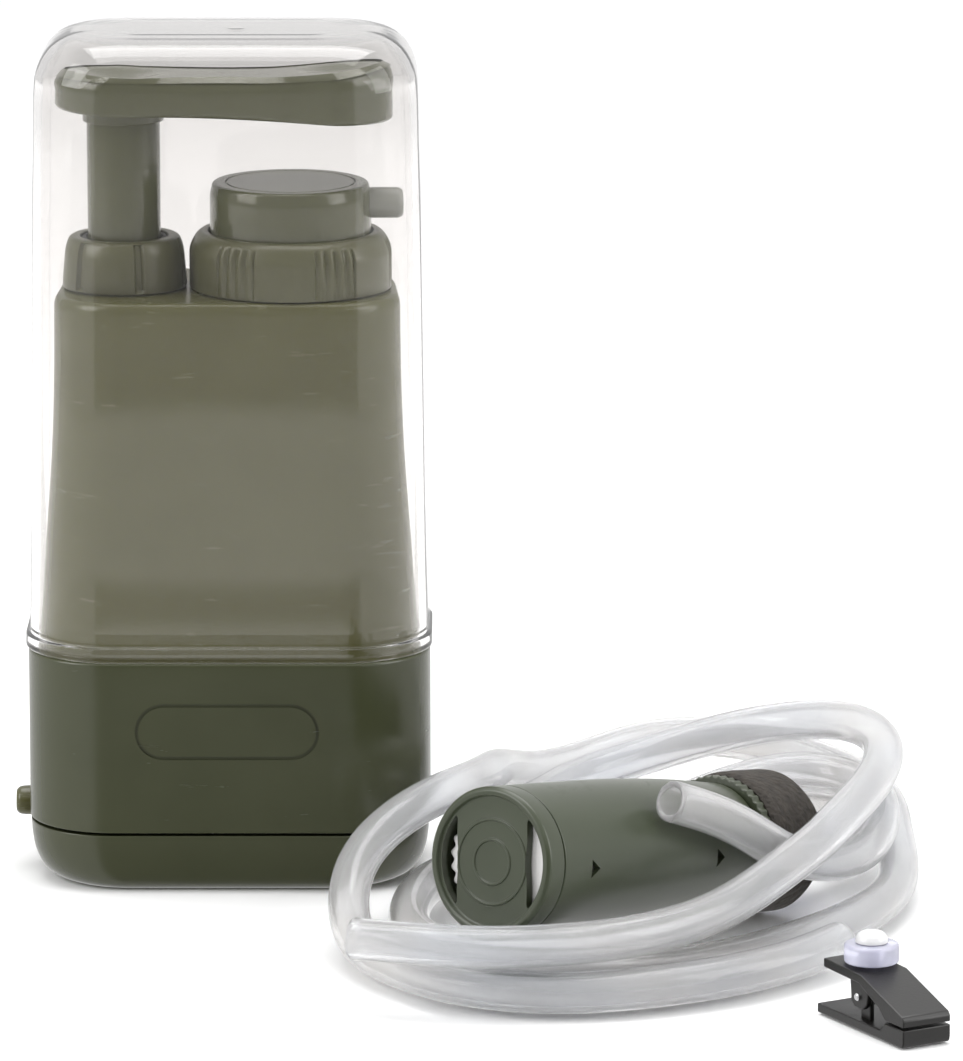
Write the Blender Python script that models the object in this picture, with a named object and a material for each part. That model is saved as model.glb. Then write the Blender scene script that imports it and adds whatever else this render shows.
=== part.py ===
"""Hand pump water filter for camping, with its two hoses, floating strainer and hose clip."""
import math

import bmesh
import bpy
import numpy as np
from mathutils import Matrix, Vector

MM = 0.001

# ---- driving dimensions, millimetres ----
BASE_W, BASE_D, BASE_R = 80.0, 50.0, 19.0      # base footprint and corner radius
BASE_TOP = 46.7                                # top of the wide base band
COVER_JOINT = 12.0                             # joint line between base cover and band
BODY_TOP = 118.0                               # top face of the upper housing
WALL = 2.0                                     # housing wall
PUMP_X = -20.6                                 # pump axis
FILTER_X = 12.6                                # filter axis
STEM_R = 7.4
CYL_R, CYL_BORE = 10.0, 8.5
COLLAR_R, COLLAR_TOP = 12.5, 128.4
RING_R, RING_TOP = 20.2, 129.4
CAP_R, CAP_TOP = 16.1, 138.9
SPOUT_R, SPOUT_Z, SPOUT_END = 3.0, 134.7, 35.3
CANISTER_R = 16.5
CUP_TOP, CUP_WALL = 169.7, 1.7                 # clear cover
HANDLE_L, HANDLE_R = -34.4, 33.1               # handle ends along X
INLET_Z, INLET_R, INLET_END = 13.0, 2.95, -43.2
HOSE_R = 3.9
STRAINER_FRONT = Vector((51.6, -105.0, 27.4))  # centre of the strainer's front face
STRAINER_AXIS = Vector((0.61, 0.77, -0.15)).normalized()
STRAINER_R = 14.2
STRAINER_LEN = 70.6                            # front face to rear flange
FLOAT_LEN = 15.5
GAP = 0.3

for old in list(bpy.data.objects):
    bpy.data.objects.remove(old, do_unlink=True)


def material(name, rgb, rough=0.4, metal=0.0, alpha=1.0, transmission=0.0):
    mat = bpy.data.materials.new(name)
    mat.use_nodes = True
    shader = mat.node_tree.nodes["Principled BSDF"]
    shader.inputs["Base Color"].default_value = (*rgb, 1.0)
    shader.inputs["Roughness"].default_value = rough
    shader.inputs["Metallic"].default_value = metal
    shader.inputs["Alpha"].default_value = alpha
    shader.inputs["Transmission Weight"].default_value = transmission
    mat.diffuse_color = (*rgb, alpha)
    return mat


OLIVE = material("olive_plastic", (0.075, 0.082, 0.045), 0.35)
DARK = material("black_plastic", (0.02, 0.02, 0.018), 0.5)
CLEAR = material("clear_plastic", (0.85, 0.85, 0.86), 0.08, alpha=0.25)
FROST = material("milky_silicone", (0.75, 0.76, 0.74), 0.35, alpha=0.85)
WHITE = material("white_plastic", (0.8, 0.8, 0.8), 0.4)
RUBBER = material("black_rubber", (0.015, 0.015, 0.015), 0.7)
FOAM = material("foam", (0.05, 0.045, 0.035), 0.95)
STEEL = material("steel", (0.5, 0.5, 0.5), 0.3, metal=1.0)
CARBON = material("carbon", (0.01, 0.01, 0.01), 0.9)


def own(mat, name):
    copy = mat.copy()
    copy.name = name
    return copy


def skin(name, rings, mat, closed=False, origin=(0, 0, 0), matrix=None):
    """A closed surface over a stack of equal loops (mm). closed joins the last loop to the first."""
    origin = Vector(origin)
    bm = bmesh.new()
    loops = [[bm.verts.new((Vector(p) - origin) * MM) for p in ring] for ring in rings]
    pairs = list(zip(loops, loops[1:]))
    if closed:
        pairs.append((loops[-1], loops[0]))
    for low, high in pairs:
        n = len(low)
        for i in range(n):
            j = (i + 1) % n
            bm.faces.new((low[i], low[j], high[j], high[i]))
    if not closed:
        bm.faces.new(loops[0][::-1])
        bm.faces.new(loops[-1])
    bmesh.ops.recalc_face_normals(bm, faces=bm.faces)
    mesh = bpy.data.meshes.new(name)
    bm.to_mesh(mesh)
    bm.free()
    obj = bpy.data.objects.new(name, mesh)
    mesh.materials.append(own(mat, name))
    bpy.context.scene.collection.objects.link(obj)
    if matrix is None:
        obj.location = origin * MM
    else:
        obj.matrix_world = matrix
    return obj


def circle(r, z, cx=0.0, cy=0.0, n=32):
    steps = [2 * math.pi * i / n for i in range(n)]
    return [(cx + r * math.cos(t), cy + r * math.sin(t), z) for t in steps]


def rounded(w, d, r, z, k=6, cx=0.0):
    """Rounded rectangle w x d with corner radius r, k steps on each corner."""
    points = []
    for quarter, (sx, sy) in enumerate(((1, 1), (-1, 1), (-1, -1), (1, -1))):
        for i in range(k + 1):
            t = math.pi / 2 * (quarter + i / k)
            points.append((cx + sx * (w / 2 - r) + r * math.cos(t),
                           sy * (d / 2 - r) + r * math.sin(t), z))
    return points


def turned(name, profile, mat, cx=0.0, cy=0.0, n=24, closed=True, shape=None, matrix=None,
           origin=None):
    """A turned piece from (radius, height) pairs. shape(angle, r, z) may change the radius."""
    rings = []
    for r, z in profile:
        ring = []
        for i in range(n):
            t = 2 * math.pi * i / n
            rr = shape(t, r, z) if shape else r
            ring.append((cx + rr * math.cos(t), cy + rr * math.sin(t), z))
        rings.append(ring)
    return skin(name, rings, mat, closed, origin or (cx, cy, 0), matrix)


def box(name, low, high, mat=DARK):
    (x0, y0, z0), (x1, y1, z1) = low, high
    rings = [[(x0, y0, z), (x1, y0, z), (x1, y1, z), (x0, y1, z)] for z in (z0, z1)]
    return skin(name, rings, mat)


def along_x(name, profile, mat, y=0.0, z=0.0, n=24, closed=True):
    """A turned piece about an axis parallel to X, from (radius, x) pairs."""
    rings = [[(x, y + r * math.cos(2 * math.pi * i / n), z + r * math.sin(2 * math.pi * i / n))
              for i in range(n)] for r, x in profile]
    return skin(name, rings, mat, closed)


def boolean(obj, other, operation):
    mod = obj.modifiers.new(operation.lower(), "BOOLEAN")
    mod.operation = operation
    mod.solver = "EXACT"
    mod.object = other
    other.hide_render = True
    other.display_type = "WIRE"


def tube(name, points, radius, mat, resolution=2):
    """A solid round tube along a polyline (mm), with filled ends."""
    data = bpy.data.curves.new(name, "CURVE")
    data.dimensions = "3D"
    data.bevel_depth = radius * MM
    data.bevel_resolution = resolution
    data.use_fill_caps = True
    spline = data.splines.new("POLY")
    spline.points.add(len(points) - 1)
    for target, p in zip(spline.points, points):
        target.co = (p[0] * MM, p[1] * MM, p[2] * MM, 1.0)
    data.materials.append(own(mat, name))
    obj = bpy.data.objects.new(name, data)
    bpy.context.scene.collection.objects.link(obj)
    return obj


# ---- housing ----
def body_shell():
    """Wide band below, waisted housing above, open underneath."""
    band = ((12.3, 79.4), (13.2, 80.0), (46.1, 80.0), (46.7, 79.4))
    outer = [rounded(w, w - 30, BASE_R, z) for z, w in band]
    upper = ((46.7, 75.2, 45.2), (49.0, 75.2, 45.2), (58.0, 73.7, 44.0), (70.0, 72.2, 43.0),
             (84.0, 70.0, 42.1), (100.0, 68.7, 41.7), (115.4, 68.2, 41.6), (117.3, 66.9, 40.3),
             (118.0, 64.2, 37.6))
    outer += [rounded(w, d, 17.5 if z < 117 else 15.5, z) for z, w, d in upper]
    inner = ((115.6, 62.0, 36.0), (100.0, 64.4, 37.4), (70.0, 67.9, 38.7), (49.0, 70.6, 40.8),
             (43.5, 75.2, 45.2), (12.3, 75.2, 45.2))
    inner = [rounded(w, d, 15.0, z) for z, w, d in inner]
    shell = open_shell("body_shell", outer[::-1], inner[::-1], OLIVE)
    for cut, x, r in (("pump_hole", PUMP_X, CYL_R + GAP), ("filter_hole", FILTER_X, 16.8)):
        cutter = turned(cut, ((r, 112.0), (r, 124.0)), OLIVE, cx=x, n=32, closed=False)
        boolean(shell, cutter, "DIFFERENCE")
    notch = along_x("inlet_notch", ((INLET_R + GAP, -50.0), (INLET_R + GAP, -33.0)), OLIVE,
                    z=INLET_Z, n=20, closed=False)
    boolean(shell, notch, "DIFFERENCE")
    return shell, notch


def open_shell(name, outer_down, inner_up, mat):
    """Outer loops from the closed top down to the rim, then inner loops up to the closed top."""
    return skin(name, outer_down + inner_up, mat)


def base_cover(notch):
    levels = ((0.0, 66.0, 40.0, 15.0), (0.35, 69.2, 42.4, 15.8), (1.3, 72.8, 44.8, 16.8),
              (3.2, 76.0, 47.0, 17.8), (6.0, 78.2, 48.6, 18.6), (9.0, 79.3, 49.4, 18.9),
              (11.7, 79.6, 49.6, BASE_R))
    outer = [rounded(w, d, r, z) for z, w, d, r in levels]
    inner = [rounded(w, d, r, z) for z, w, d, r in
             ((11.7, 75.0, 45.0, 16.5), (6.0, 73.6, 44.0, 16.0), (3.0, 68.0, 39.0, 14.0))]
    tray = skin("base_cover", outer + inner, OLIVE)
    boolean(tray, notch, "DIFFERENCE")


def base_gasket():
    rings = [rounded(w, w - 30, 15.0, z) for w, z in
             ((74.2, 12.6), (74.2, 14.2), (70.6, 14.2), (70.6, 12.6))]
    gasket = skin("base_gasket", rings, RUBBER, closed=True)
    gap = box("gasket_gap", (-45, -4.2, 10), (-33, 4.2, 18))
    boolean(gasket, gap, "DIFFERENCE")


def inlet():
    bore = 1.6
    profile = ((bore, INLET_END + 0.2), (2.2, INLET_END), (2.75, INLET_END + 0.7),
               (INLET_R, INLET_END + 1.6), (INLET_R, -36.2), (4.0, -36.2), (4.0, -34.8),
               (2.6, -34.8), (2.6, -18.6), (bore, -18.6))
    elbow = along_x("inlet_elbow", profile, OLIVE, z=INLET_Z, n=20)
    riser = turned("inlet_riser", ((2.4, INLET_Z + 2.0), (2.4, 19.6)), OLIVE, cx=PUMP_X, n=16,
                   closed=False)
    boolean(elbow, riser, "UNION")
    return elbow


shell_obj, notch_obj = body_shell()
base_cover(notch_obj)
base_gasket()
inlet()

# ---- pump ----
turned("pump_cylinder", ((2.0, 20.0), (CYL_R, 20.0), (CYL_R, 126.0), (CYL_BORE, 126.0),
                         (CYL_BORE, 24.0), (2.0, 24.0)), WHITE, cx=PUMP_X)
turned("intake_valve", ((1.5, 21.0), (1.5, 24.3), (5.0, 24.3), (5.0, 25.4)), RUBBER,
       cx=PUMP_X, n=20, closed=False)
turned("piston", ((7.9, 30.0), (7.9, 32.5), (6.5, 32.5), (6.5, 35.5), (7.9, 35.5), (7.9, 39.0),
                  (4.8, 39.0), (4.8, 52.0)), WHITE, cx=PUMP_X, closed=False)
turned("piston_seal", ((6.8, 32.9), (8.0, 32.9), (8.2, 34.0), (8.0, 35.1), (6.8, 35.1)), RUBBER,
       cx=PUMP_X)
turned("pump_stem", ((5.1, 39.3), (STEM_R, 39.3), (STEM_R, 151.2), (5.1, 151.2)), OLIVE,
       cx=PUMP_X)


def notched(angle, r, z):
    """Wide pads round the collar, parted by narrow notches."""
    if r < COLLAR_R - 1.0 or z < 118.5:
        return r
    return r - 0.45 if (angle * 6 / (2 * math.pi) + 0.28) % 1.0 < 0.14 else r


turned("pump_collar", ((10.4, 118.3), (COLLAR_R, 118.3), (COLLAR_R, 119.4), (11.9, 126.0),
                       (11.4, 127.5), (10.2, COLLAR_TOP), (8.9, COLLAR_TOP), (8.9, 126.6),
                       (10.4, 126.6)), OLIVE, cx=PUMP_X, n=48, shape=notched)
turned("stem_wiper", ((7.7, 126.5), (8.6, 126.5), (8.6, 128.0), (7.7, 128.0)), RUBBER, cx=PUMP_X)


def handle_half_width(x):
    """Half depth of the dog-bone plan at x: full at both ends, waisted between."""
    middle = (HANDLE_L + HANDLE_R) / 2
    u = (x - middle) / ((HANDLE_R - HANDLE_L) / 2)
    waist = 11.2 + 3.6 * min(1.0, abs(u) * 1.45) ** 2
    end = max(0.0, 1.0 - max(0.0, (abs(u) - 0.56) / 0.44) ** 2.0)
    return waist * math.sqrt(end) if end < 1.0 else waist


def handle_loop(inset, level, n=40):
    """Plan outline drawn in by inset. level(x) gives the height."""
    middle, half = (HANDLE_L + HANDLE_R) / 2, (HANDLE_R - HANDLE_L) / 2
    points = []
    for i in range(n):
        t = 2 * math.pi * i / n
        x = middle + half * math.cos(t)
        y = math.copysign(handle_half_width(x), math.sin(t)) if i % (n // 2) else 0.0
        out = Vector((math.cos(t) * half, math.sin(t) * 14.0, 0)).normalized()
        points.append((x - out.x * inset, y - out.y * inset, level(x)))
    return points


def handle_under(x):
    return 154.4 - 2.6 * (x - HANDLE_L) / (HANDLE_R - HANDLE_L)


def handle_top(x):
    u = (x - HANDLE_L) / (HANDLE_R - HANDLE_L)
    return 161.4 + 0.9 * max(0.0, 1 - u * 4) + 2.6 * max(0.0, (u - 0.62) / 0.38) ** 1.5


def handle():
    levels = ((0.6, lambda x: handle_under(x)), (0.0, lambda x: handle_under(x) + 0.6),
              (0.0, lambda x: handle_top(x) - 3.6), (0.9, lambda x: handle_top(x) - 1.5),
              (2.4, lambda x: handle_top(x) - 0.3), (4.0, lambda x: handle_top(x)),
              (6.5, lambda x: handle_top(x) - 0.5))
    grip = skin("handle", [handle_loop(inset, f) for inset, f in levels], OLIVE)
    boss = turned("handle_boss", ((8.6, 151.5), (9.2, 157.0)), OLIVE, cx=PUMP_X, n=32,
                  closed=False)
    boolean(grip, boss, "UNION")


handle()

# ---- filter ----
turned("filter_canister", ((2.5, 20.0), (CANISTER_R, 20.0), (CANISTER_R, 125.0), (15.0, 125.0),
                           (15.0, 23.0), (2.5, 23.0)), WHITE, cx=FILTER_X)
turned("cartridge_cap_lower", ((2.0, 23.4), (14.4, 23.4), (14.4, 25.6), (2.0, 25.6)), DARK,
       cx=FILTER_X)
turned("membrane_cartridge", ((5.6, 26.0), (14.2, 26.0), (14.2, 115.7), (5.6, 115.7)), WHITE,
       cx=FILTER_X)
turned("carbon_core", ((5.2, 27.0), (5.2, 115.0)), CARBON, cx=FILTER_X, n=24, closed=False)
turned("cartridge_cap_upper", ((1.8, 116.0), (14.4, 116.0), (14.4, 118.4), (6.0, 118.4),
                               (6.0, 121.4), (1.8, 121.4)), DARK, cx=FILTER_X)
turned("outlet_valve", ((1.4, 119.0), (1.4, 121.7), (4.6, 121.7), (4.6, 122.8)), RUBBER,
       cx=FILTER_X, n=20, closed=False)
turned("lid_seal", ((15.2, 125.3), (16.3, 125.3), (16.3, 126.0), (15.2, 126.0)), RUBBER,
       cx=FILTER_X)


def ribbed(angle, r, z):
    """Groups of ribs round the screw ring, with smooth pads between."""
    if r < RING_R - 0.6 or z < 118.8:
        return r
    place = (angle * 6 / (2 * math.pi) + 0.25) % 1.0
    return r if place > 0.42 or int(place / 0.06) % 2 else r - 0.55


turned("filter_ring", ((17.4, 118.3), (RING_R, 118.3), (RING_R, 119.0), (RING_R, 126.0),
                       (RING_R - 1.0, 127.8), (17.6, RING_TOP), (16.5, RING_TOP),
                       (16.5, 128.0), (17.4, 128.0)), OLIVE, cx=FILTER_X, n=60, shape=ribbed)


def outlet():
    """The cap as a cup, open below, with a side hole for the spout."""
    outer = [circle(r, z, FILTER_X, n=40) for r, z in
             ((15.0, CAP_TOP), (15.75, CAP_TOP - 0.8), (CAP_R, 129.6), (CAP_R, 127.7),
              (17.1, 127.7), (17.1, 126.4))]
    inner = [circle(r, z, FILTER_X, n=40) for r, z in ((14.0, 126.4), (14.0, CAP_TOP - 2.0))]
    cap = skin("outlet_cap", outer + inner, OLIVE, origin=(FILTER_X, 0, 0))
    hole = along_x("spout_hole", ((SPOUT_R + GAP, FILTER_X + 9.0), (SPOUT_R + GAP, 45.0)), OLIVE,
                   z=SPOUT_Z, n=20, closed=False)
    boolean(cap, hole, "DIFFERENCE")
    along_x("outlet_spout", ((1.8, FILTER_X + 11.0), (SPOUT_R, FILTER_X + 11.0),
                             (SPOUT_R, SPOUT_END - 1.2), (2.6, SPOUT_END - 0.3),
                             (1.8, SPOUT_END)), WHITE, z=SPOUT_Z, n=20)


outlet()


def clear_cover():
    outer = ((167.0 + 2.7, 52.0, 9.0), (169.4, 59.0, 12.0), (168.4, 65.0, 14.5),
             (166.4, 70.0, 16.5), (163.2, 73.6, 18.0), (159.0, 75.3, 18.4), (132.0, 76.6, 18.6),
             (70.0, 78.3, 18.8), (50.3, 79.3, 19.0), (49.6, 80.8, 19.4), (47.6, 80.9, 19.4),
             (47.0, 80.4, 19.2))
    inner = ((47.0, 76.0, 17.6), (49.0, 75.9, 17.6), (70.0, 74.9, 17.4), (132.0, 73.2, 17.0),
             (158.6, 71.9, 16.8), (162.4, 70.3, 16.2), (165.1, 67.0, 15.0), (166.9, 62.6, 13.2),
             (167.7, 57.8, 11.0), (168.0, 51.0, 8.0))
    rings = [rounded(w, w - 30, r, z) for z, w, r in outer + inner]
    skin("clear_cover", rings, CLEAR)


clear_cover()


# ---- strainer, drawn along its own axis: height 0 is the front face, growing to the rear ----
TILT = STRAINER_AXIS.to_track_quat("Z", "Y").to_matrix().to_4x4()
STRAINER_AT = Matrix.Translation(STRAINER_FRONT * MM) @ TILT


def strainer_piece(name, profile, mat, **kw):
    return turned(name, profile, mat, matrix=STRAINER_AT, **kw)


def sector(name, r0, r1, start, end, low, high, steps=10):
    """A prism over part of a ring, used to cut the crescent windows."""
    angles = [math.radians(start + (end - start) * i / steps) for i in range(steps + 1)]
    bulge = [r0 + (r1 - r0 - 1.2) * (1 - math.sin(math.pi * i / steps)) for i in range(steps + 1)]
    rings = []
    for z in (low, high):
        outer = [(r1 * math.cos(t), r1 * math.sin(t), z) for t in angles]
        inner = [(b * math.cos(t), b * math.sin(t), z) for t, b in zip(angles, bulge)]
        rings.append(outer + inner[::-1])
    return skin(name, rings, OLIVE, matrix=STRAINER_AT)


def strainer():
    cap_levels = ((11.4, 0.6), (12.6, 0.6), (12.9, 0.0), (13.7, 0.0), (STRAINER_R, 0.6),
                  (STRAINER_R, 4.8), (12.6, 4.8), (12.6, 2.4))
    cap = strainer_piece("strainer_cap", cap_levels, OLIVE, closed=False, n=32)
    for k, middle in enumerate((-6, 174)):
        boolean(cap, sector(f"crescent_{k}", 8.0, 12.2, middle - 42, middle + 42, -2, 5),
                "DIFFERENCE")
    pleat = lambda angle, r, z: r - 0.7 * (math.cos(angle * 18) > 0)
    strainer_piece("strainer_mesh", ((11.9, 3.2), (11.9, 22.0)), WHITE, closed=False, n=36,
                   shape=pleat)
    shell = strainer_piece("strainer_shell", ((13.0, 5.2), (STRAINER_R, 5.2), (STRAINER_R, 36.0),
                           (13.5, 54.0), (11.9, STRAINER_LEN), (2.6, STRAINER_LEN), (2.6, 68.2),
                           (10.6, 68.2), (12.2, 52.0), (12.9, 34.0)), OLIVE, n=32)
    for k, (along, turn) in enumerate(((14.7, 0), (55.7, 0), (14.7, 180), (55.7, 180))):
        face = math.radians(turn - 1)
        rings = []
        for r in (9.0, 17.0):
            ring = []
            for across, up in ((-1.8, -1.3), (1.8, -1.3), (0.0, 1.3)):
                ring.append((r * math.cos(face) - across * math.sin(face),
                             r * math.sin(face) + across * math.cos(face), along + up))
            rings.append(ring)
        boolean(shell, skin(f"vent_{k}", rings, OLIVE, matrix=STRAINER_AT), "DIFFERENCE")
    low = STRAINER_LEN + GAP
    strainer_piece("strainer_flange", ((4.6, low), (13.4, low), (13.4, low + 2.4),
                                       (4.6, low + 2.4)), OLIVE, n=28)
    low += 2.7
    strainer_piece("strainer_float", ((4.6, low), (13.3, low), (13.9, low + 0.6),
                                      (13.9, low + FLOAT_LEN - 0.6), (13.3, low + FLOAT_LEN),
                                      (4.6, low + FLOAT_LEN)), FOAM, n=28)
    rear = low + FLOAT_LEN + GAP
    strainer_piece("strainer_nipple", ((4.2, low - 2.6), (4.2, rear), (9.0, rear),
                                       (9.0, rear + 2.4), (6.6, rear + 9.0), (5.4, rear + 11.0),
                                       (5.4, rear + 14.0), (1.8, rear + 14.0), (1.8, low - 2.6)),
                   CLEAR, n=28)
    return rear + 14.0


NIPPLE_END = strainer()

# ---- hose clip, drawn in its own frame: x to the jaw, y across, z up from the pivot ----
CLIP_PIVOT = Vector((124.5, -121.5, 6.6))
CLIP_TURN = math.radians(-60)                  # the jaw points this way in plan
CLIP_AT = Matrix.Translation(CLIP_PIVOT * MM) @ Matrix.Rotation(CLIP_TURN, 4, "Z")
CLIP_HALF = 5.2                                # half width of the levers


def bar(name, outline, y0, y1, mat=DARK):
    """A side outline (x, z) carried across the clip from y0 to y1."""
    rings = [[(x, y, z) for x, z in outline] for y in (y0, y1)]
    return skin(name, rings, mat, matrix=CLIP_AT)


def across(name, profile, mat, n=20, closed=True):
    rings = [[(r * math.cos(2 * math.pi * i / n), y, r * math.sin(2 * math.pi * i / n))
              for i in range(n)] for r, y in profile]
    return skin(name, rings, mat, closed, matrix=CLIP_AT)


def clip():
    lower = bar("clip_lever_lower", ((-14, -6.3), (15, -6.3), (15.4, -5.4), (15.4, -2.9),
                                     (9, -2.9), (7.6, -4.5), (-14, -4.5)), -CLIP_HALF, CLIP_HALF)
    upper = bar("clip_lever_upper", ((-12, 2.9), (0, 2.6), (7, -0.6), (9, -2.4), (15.4, -2.4),
                                     (15.4, -1.2), (14.8, -0.4), (0.6, 4.3), (-12, 4.7)),
                -CLIP_HALF, CLIP_HALF)
    pin_hole = across("pin_hole", ((1.05, -8), (1.05, 8)), DARK, n=16, closed=False)
    for side in (-1, 1):
        ear = bar(f"ear_low_{side + 1}", ((-1.6, -5.0), (1.6, -5.0), (1.5, 1.3), (-1.5, 1.3)),
                  *sorted((side * 2.5, side * 3.5)))
        boolean(lower, ear, "UNION")
        ear = bar(f"ear_high_{side + 1}", ((-2.6, -1.2), (-1.4, -2.2), (1.4, -2.2), (2.8, -1.0),
                                           (3.4, 2.2), (-3.0, 3.4)),
                  *sorted((side * 3.9, side * (CLIP_HALF - 0.1))))
        boolean(upper, ear, "UNION")
    for lever in (lower, upper):
        boolean(lever, pin_hole, "DIFFERENCE")
    across("clip_pin", ((0.75, -5.6), (0.75, 5.6)), STEEL, n=16, closed=False)
    across("clip_spring", ((1.2, -2.1), (1.9, -2.1), (1.9, 2.1), (1.2, 2.1)), STEEL, n=20)
    at = (-4.5, 0.6)
    turned("clip_tube_ring", ((1.7, 4.95), (5.2, 4.95), (5.2, 8.0), (4.7, 8.6), (1.7, 8.6)),
           CLEAR, cx=at[0], cy=at[1], n=28, origin=(0, 0, 0), matrix=CLIP_AT)
    turned("clip_rivet", ((1.4, 4.8), (1.4, 8.9), (3.1, 8.9), (2.9, 9.8), (2.0, 10.6),
                          (0.8, 11.0)), WHITE, cx=at[0], cy=at[1], n=24, closed=False,
           origin=(0, 0, 0), matrix=CLIP_AT)


clip()

# ---- hoses: hand-placed way points, settled until no two strands touch ----
INTAKE_WAY = ((127, -3, 10), (125, 11, 8), (111, 20, 7), (90, 13, 6), (70, 1, 6), (53, -16, 6),
              (41, -34, 6), (36, -54, 6), (36, -73, 5), (44, -89, 5), (59, -101, 5),
              (80, -103, 5), (100, -92, 5), (115, -74, 5), (128, -52, 5), (133, -30, 5),
              (132, -8, 9), (125, 13, 15), (107, 26, 19), (86, 28, 20), (68, 20, 15),
              (58, 1, 17), (50.5, -24, 21), (37.5, -42, 23), (25, -59, 16), (24.5, -78, 6),
              (33, -97, 5), (46, -111, 5), (62, -116.5, 5), (80, -113, 5), (96, -104, 5),
              (109, -93, 5), (118, -83, 6))
OUTLET_WAY = ((26.5, -110, 13.9), (38, -114.5, 14), (50, -117.5, 14), (63, -116.5, 14),
              (77, -111, 14), (94, -98, 15), (109, -78, 20), (120, -57, 24), (128, -33, 26),
              (131, -12, 28), (125, 6, 28.5), (110, 18, 25), (93, 20, 20.5), (77, 13, 17),
              (62, 1, 16), (52, -16, 16), (45, -36, 16), (46, -56, 16), (57, -60, 16),
              (66, -45, 16), (77, -29, 15), (89, -13, 15), (102, -3, 18), (115, 1, 20),
              (126, -5, 19), (130, -20, 18), (128, -38, 14), (120, -53, 13), (109, -64, 18),
              (97, -74, 28), (86, -84, 33.5))


def smooth_path(way, step):
    """Points every step mm along a smooth curve through the way points."""
    way = np.asarray(way, float)
    padded = np.vstack((2 * way[0] - way[1], way, 2 * way[-1] - way[-2]))
    u = np.linspace(0, 1, 24, endpoint=False)[:, None]
    a, b, c, d = padded[:-3, None], padded[1:-2, None], padded[2:-1, None], padded[3:, None]
    curve = 0.5 * (2 * b + (c - a) * u + (2 * a - 5 * b + 4 * c - d) * u ** 2
                   + (3 * b - a - 3 * c + d) * u ** 3)
    return evenly(np.vstack((curve.reshape(-1, 3), way[-1])), step)


def evenly(points, step):
    length = np.r_[0, np.cumsum(np.linalg.norm(np.diff(points, axis=0), axis=1))]
    count = max(2, int(round(length[-1] / step)) + 1)
    at = np.linspace(0, length[-1], count)
    return np.stack([np.interp(at, length, points[:, i]) for i in range(3)], axis=1)


def clear_of_axis(points, start, axis, length, radius):
    """Pushes points straight out of a round bar."""
    start, axis = np.array(start), np.array(axis)
    along = (points - start) @ axis
    out = points - start - along[:, None] * axis
    far = np.linalg.norm(out, axis=1)
    inside = (along > -3) & (along < length) & (far < radius)
    push = np.where(inside, radius - far, 0)
    return points + out / np.maximum(far, 1e-6)[:, None] * push[:, None]


def settle(paths, spacing=9.3, rounds=300):
    """Moves neighbouring strands apart, off the floor, the pump, the strainer and the clip."""
    sizes = [len(p) for p in paths]
    points = np.vstack(paths)
    owner = np.repeat(np.arange(len(paths)), sizes)
    index = np.concatenate([np.arange(n) for n in sizes])
    ends = (index < 3) & (owner == 0)
    near = (owner[:, None] == owner[None]) & (abs(index[:, None] - index[None]) < 9)
    others = (owner > 0) | (index > 9)
    held, home = points[ends].copy(), points.copy()
    inner = (index > 0) & np.r_[index[1:] > 0, False]
    for _ in range(rounds):
        apart = points[:, None] - points[None]
        far = np.linalg.norm(apart, axis=2) + 1e-9
        push = np.where(near | (far > spacing), 0, spacing - far) * 0.25
        points = points + (apart / far[..., None] * push[..., None]).sum(axis=1)
        mean = (np.roll(points, 1, axis=0) + np.roll(points, -1, axis=0)) / 2
        points[inner] += 0.22 * (mean - points)[inner]
        points += 0.03 * (home - points)
        points = clear_of_axis(points, STRAINER_FRONT, STRAINER_AXIS, 96, STRAINER_R + 4.6)
        for along, length, radius in ((94, 5, 13.6), (100, 5, 10.2)):
            points[others] = clear_of_axis(points, STRAINER_FRONT + STRAINER_AXIS * along,
                                           STRAINER_AXIS, length, radius)[others]
        block = (points[:, 0] < 45.2) & (abs(points[:, 1]) < 30.2)
        sideways = block & (points[:, 0] - 45.2 > -30.2 - points[:, 1])
        points[block & ~sideways, 1] = -30.2
        points[sideways, 0] = 45.2
        points[:, 2] = np.maximum(points[:, 2], 4.4)
        points[ends] = held
    return [points[owner == k] for k in range(len(paths))]


def hoses():
    start = STRAINER_FRONT + STRAINER_AXIS * (NIPPLE_END + 0.8)
    lead = start + STRAINER_AXIS * 4.0
    paths = settle([smooth_path((tuple(start), tuple(lead)) + INTAKE_WAY, 4.0),
                    smooth_path(OUTLET_WAY, 4.0)])
    for name, path in zip(("intake_hose", "outlet_hose"), paths):
        path = evenly(path, 15.0)
        if name == "intake_hose":
            path = np.vstack((path[0], path[0] + np.array(STRAINER_AXIS) * 4.0, path[1:]))
        print(name, "points", len(path), "length mm",
              round(float(np.linalg.norm(np.diff(path, axis=0), axis=1).sum())))
        tube(name, path, HOSE_R, FROST)


hoses()
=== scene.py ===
"""Pump water filter with its coiled hoses, floating strainer and hose clip: finished surfaces.

Lengths are millimetres until a mesh is made. Every new piece is a grid of points worked out
with numpy, either a profile turned round an axis or a plan outline lofted through levels.
"""
import math

import bpy
import numpy as np
from mathutils import Matrix, Vector


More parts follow.
